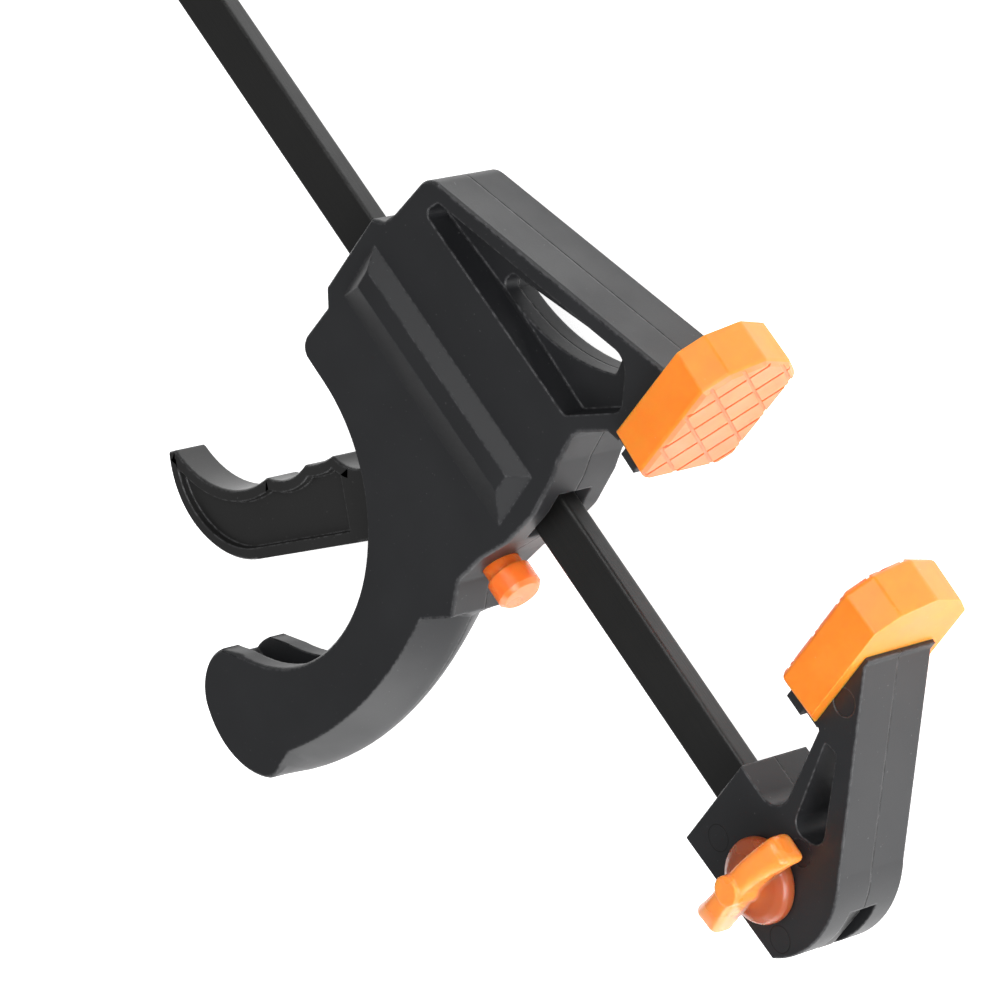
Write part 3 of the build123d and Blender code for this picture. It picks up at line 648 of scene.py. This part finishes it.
def spine_share(place):
    """0 round the hook and 1 along the spine."""
    arm = place.to_2d() - hook_centre
    turned = blend_between(atan2(arm.y, arm.x), turn_front, turn_back)
    return min(turned, blend_between(place.x, hook_front, hook_back))


def crown_move(place):
    """How far a place near the back moves towards the centre of its arc."""
    on_spine = place.x > arcs_meet
    if place.y >= crown_top or place.x <= hook_front or not (on_spine or place.y < hook_centre.y):
        return Vector((0.0, 0.0))
    centre, radius = (spine_centre, spine_radius) if on_spine else (hook_centre, hook_radius)
    inward = centre - place.to_2d()
    depth = radius - inward.length
    fall = crown_slope * (hypot(place.z, crown_flat) - crown_flat)
    if abs(place.z) > bevel_level:
        fall = max(0.0, fall - max(depth, 0.0))
    skin = 1.0 - blend_between(depth, *skin_ends)
    return skin * spine_share(place) * fall * inward.normalized()


print("handle measured")

# %% [markdown]
# ## The hook's bevel
# Round the hook, every corner on the bevel moves outwards to the bevel's foot and up to the side
# face, until only a fine bevel is left. The foot of the bevel is a chain of edges at one level, so
# the way outwards is the way to the nearest point of that chain.

# %% Helpers that tighten the hook's bevel
handle_top = -0.040
bevel_reach = 0.0030
narrowing = 0.75
rise_at_foot = 0.00165


def nearest_on(start, end, place):
    """The point of the straight line from start to end that lies nearest to a place."""
    along = end - start
    share = (place - start).dot(along) / max(along.length_squared, 1e-12)
    return start + min(max(share, 0.0), 1.0) * along


def bevel_moves(shape, side):
    """How far each corner on the bevel moves outwards, and how far it rises."""
    handle = [vert for vert in shape.verts if vert.co.y < handle_top]
    foot = {vert for vert in handle if abs(abs(vert.co.z) - bevel_level) < 2e-5}
    chain = [
        [vert.co.to_2d() for vert in edge.verts]
        for edge in shape.edges if foot.issuperset(edge.verts)
    ]
    outward, rise = {}, {}
    for vert in handle:
        level = (abs(vert.co.z) - bevel_level) / (half_width - bevel_level)
        if not -0.01 < level < 1.01:
            continue
        place = vert.co.to_2d()
        ways = [nearest_on(start, end, place) - place for start, end in chain]
        way = min(ways, key=lambda each: each.length)
        if way.length < bevel_reach:
            hook_share = 1.0 - spine_share(vert.co)
            outward[vert] = narrowing * hook_share * way
            rise[vert] = side * rise_at_foot * (1.0 - level) * hook_share
    return outward, rise


print("bevel helpers ready")

# %% [markdown]
# ## The two case halves
# A copy of each half is cut along a few levels of Z and a few places along X, which gives the slope
# its corners. Cuts that fall very near an older corner leave slivers, so those corners are merged.
# Then all moves are worked out on the plain shape before any is made. The hook ends in a small
# beak, which is drawn out last. On the far half, the foot of the step under the arch is lowered,
# so that the step slopes and the window can be seen through at a slant.

# %% Crown the two case halves
crown_levels = (0.001, 0.002, 0.003, 0.0045, 0.006)
level_cuts_top = -0.038
hook_cuts = [-0.109 + 0.003 * step for step in range(9)]
hook_cuts_top = -0.090
merge_top, merge_reach = -0.060, 1.5e-4
beak, beak_reach = Vector((-0.1245, -0.1102)), (0.0008, 0.0035)
beak_draw = Vector((-0.0016, -0.0024))
step_level, step_foot, step_drop = -0.0085, 0.0292, 0.0048
step_ends = (-0.144, -0.078)


def cut_at(shape, places, direction, highest):
    """Cut the faces below a height in Y, at some places along a direction."""
    for distance in places:
        low = [face for face in shape.faces if face.calc_center_median().y < highest]
        edges = list({edge for face in low for edge in face.edges})
        verts = list({vert for face in low for vert in face.verts})
        bmesh.ops.bisect_plane(
            shape, geom=verts + edges + low, plane_co=distance * Vector(direction),
            plane_no=direction,
        )


def crowned_half(name, node, side):
    """A case half with a crowned spine and a fine bevel round the hook."""
    shape = copy_of(node)
    cut_at(shape, [side * level for level in crown_levels], (0, 0, 1), level_cuts_top)
    cut_at(shape, hook_cuts, (1, 0, 0), hook_cuts_top)
    lower = [vert for vert in shape.verts if vert.co.y < merge_top]
    bmesh.ops.remove_doubles(shape, verts=lower, dist=merge_reach)

    crown = {vert: crown_move(vert.co) for vert in shape.verts}
    outward, rise = bevel_moves(shape, side)
    for moves in (crown, outward):
        for vert, move in moves.items():
            vert.co.xy += move
    for vert, height in rise.items():
        vert.co.z += height
    for vert in shape.verts:
        from_beak = (vert.co.to_2d() - beak).length
        vert.co.xy += (1.0 - blend_between(from_beak, *beak_reach)) * beak_draw
        at_foot = vert.co.z < step_level and abs(vert.co.y - step_foot) < 0.0008
        if at_foot and step_ends[0] < vert.co.x < step_ends[1]:
            vert.co.y -= step_drop
    stand_in(shape, name, node, "moving_jaw", body_nylon)


crowned_half("case_near", "body_near", 1.0)
crowned_half("case_far", "body_far", -1.0)

# %% [markdown]
# ## The wing knob
# The knob is one translucent moulding: a low domed disc, a fin bowed over it and a round hub. Each
# is a simple shape of its own. The disc is a profile spun about its axis, and the hub is a cone.

# %% Make the knob's disc and hub
knob_foot = 0.01015
rim = [(0.0, 0.0), (0.0093, 0.0), (0.00965, 0.0005), (0.00965, 0.0021), (0.0091, 0.0031)]
dome = [(0.0074, 0.0041), (0.0052, 0.0047), (0.0027, 0.005), (0.0, 0.0051)]
hub_foot_radius, hub_top_radius = 0.0036, 0.0034
hub_height, hub_middle = 0.0110, 0.0063

knob = bmesh.new()
profile = [knob.verts.new((radius, 0.0, knob_foot + height)) for radius, height in rim + dome]
outline = [knob.edges.new(pair) for pair in zip(profile, profile[1:])]
bmesh.ops.spin(
    knob, geom=profile + outline, cent=(0, 0, 0), axis=(0, 0, 1), angle=tau, steps=64,
    use_merge=True, use_duplicate=False,
)
bmesh.ops.remove_doubles(knob, verts=knob.verts, dist=1e-6)
bmesh.ops.create_cone(
    knob, cap_ends=True, segments=40, radius1=hub_foot_radius, radius2=hub_top_radius,
    depth=hub_height, matrix=Matrix.Translation((0, 0, knob_foot + hub_middle)),
)
print("disc and hub have", len(knob.faces), "faces")

# %% [markdown]
# ## The knob's fin
# The fin is a block, cut into slices along its length and then bowed: lower, wider and turned
# aside a little towards both tips, which gives the fingers a hold. A voxel remesh melts fin, disc
# and hub into one skin, and a smoothing pass leaves the soft fillets that a mould would give.

# %% Make the fin and melt the knob together
fin_width, fin_length = 0.0072, 0.0324
crest, crest_fall = 0.0112, 0.0042
sole, sole_fall = 0.0026, 0.0014
waist, tip_gain, tip_turn = 0.8, 0.3, 0.0018
fin_round = 0.0022

fin = bmesh.new()
bmesh.ops.create_cube(fin, size=1.0)
bmesh.ops.scale(fin, verts=fin.verts, vec=(fin_width, fin_length, 1.0))
along = [e for e in fin.edges if abs(e.verts[0].co.y - e.verts[1].co.y) > fin_length / 3]
bmesh.ops.subdivide_edges(fin, edges=along, cuts=17, use_grid_fill=True)
for vert in fin.verts:
    share = vert.co.y / (fin_length / 2)
    top, low = crest - crest_fall * share ** 2, sole - sole_fall * share ** 2
    vert.co.z = knob_foot + (top if vert.co.z > 0 else low)
    vert.co.x = vert.co.x * (waist + tip_gain * share ** 2) + tip_turn * share * abs(share)
long_edges = [edge for edge in fin.edges if edge.calc_face_angle() > radians(60)]
bmesh.ops.bevel(
    fin, geom=long_edges, offset=fin_round, offset_type="OFFSET", segments=4,
    profile=0.5, affect="EDGES", clamp_overlap=True, material=-1,
)
fin_mesh = bpy.data.meshes.new("fin")
fin.to_mesh(fin_mesh)
fin.free()
knob.from_mesh(fin_mesh)
bpy.data.meshes.remove(fin_mesh)
bmesh.ops.translate(knob, verts=knob.verts, vec=(*knob_axis, 0.0))
knob_piece = stand_in(knob, "wing_knob_moulding", "wing_knob", "knob", knob_plastic)
melt = knob_piece.modifiers.new("melt", "REMESH")
melt.mode = "VOXEL"
melt.voxel_size = 0.00028
melt.use_smooth_shade = True
soften = knob_piece.modifiers.new("soften", "SMOOTH")
soften.factor = 0.5
soften.iterations = 6

# %% [markdown]
# ## The studio
# A catalogue picture of a black tool is taken on a light table: a glowing white sheet under the
# object, a dim room above it, and large soft boxes to the sides. The sheet lights the black sides
# from below and swallows the shadows, while the dim room keeps the upper faces dark.

# %% Lay the light table
middle = (Vector(cad_box[0]) + Vector(cad_box[1])) / 2
table_level = cad_box[0][2] - 0.0002
table = bpy.data.meshes.new("light_table")
sheet = bmesh.new()
bmesh.ops.create_grid(sheet, x_segments=1, y_segments=1, size=3.0)
bmesh.ops.translate(sheet, verts=sheet.verts, vec=(middle.x, middle.y, table_level))
sheet.to_mesh(table)
sheet.free()
white_sheet, tree, shader, place = new_finish("white_sheet")
shader.inputs["Base Color"].default_value = (0.9, 0.9, 0.9, 1.0)
shader.inputs["Roughness"].default_value = 0.9
shader.inputs["Emission Color"].default_value = (1.0, 1.0, 1.0, 1.0)
shader.inputs["Emission Strength"].default_value = 0.9
table.materials.append(white_sheet)
light_table = bpy.data.objects.new("light_table", table)
bpy.context.scene.collection.objects.link(light_table)
print("light table laid")

# %% Dim the room and hang the lights
room = bpy.data.worlds.new("dim_room")
room.use_nodes = True
room.node_tree.nodes["Background"].inputs["Color"].default_value = (1.0, 1.0, 1.0, 1.0)
room.node_tree.nodes["Background"].inputs["Strength"].default_value = 0.24
bpy.context.scene.world = room


def softbox(name, place, target, size, power):
    """A square soft light that faces a target."""
    lamp = bpy.data.lights.new(name, "AREA")
    lamp.shape = "SQUARE"
    lamp.size = size
    lamp.energy = power
    box = bpy.data.objects.new(name, lamp)
    box.location = place
    box.rotation_euler = (Vector(target) - Vector(place)).to_track_quat("-Z", "Y").to_euler()
    bpy.context.scene.collection.objects.link(box)


softbox("side_box", (0.9, 0.35, 0.55), (0.0, 0.0, 0.0), 0.7, 13.0)
softbox("low_box", (0.6, -0.95, 0.22), (-0.08, -0.06, 0.0), 0.6, 4.0)
softbox("top_box", (-0.1, 0.75, 1.0), (-0.1, 0.0, 0.0), 0.9, 10.0)
print("studio ready")
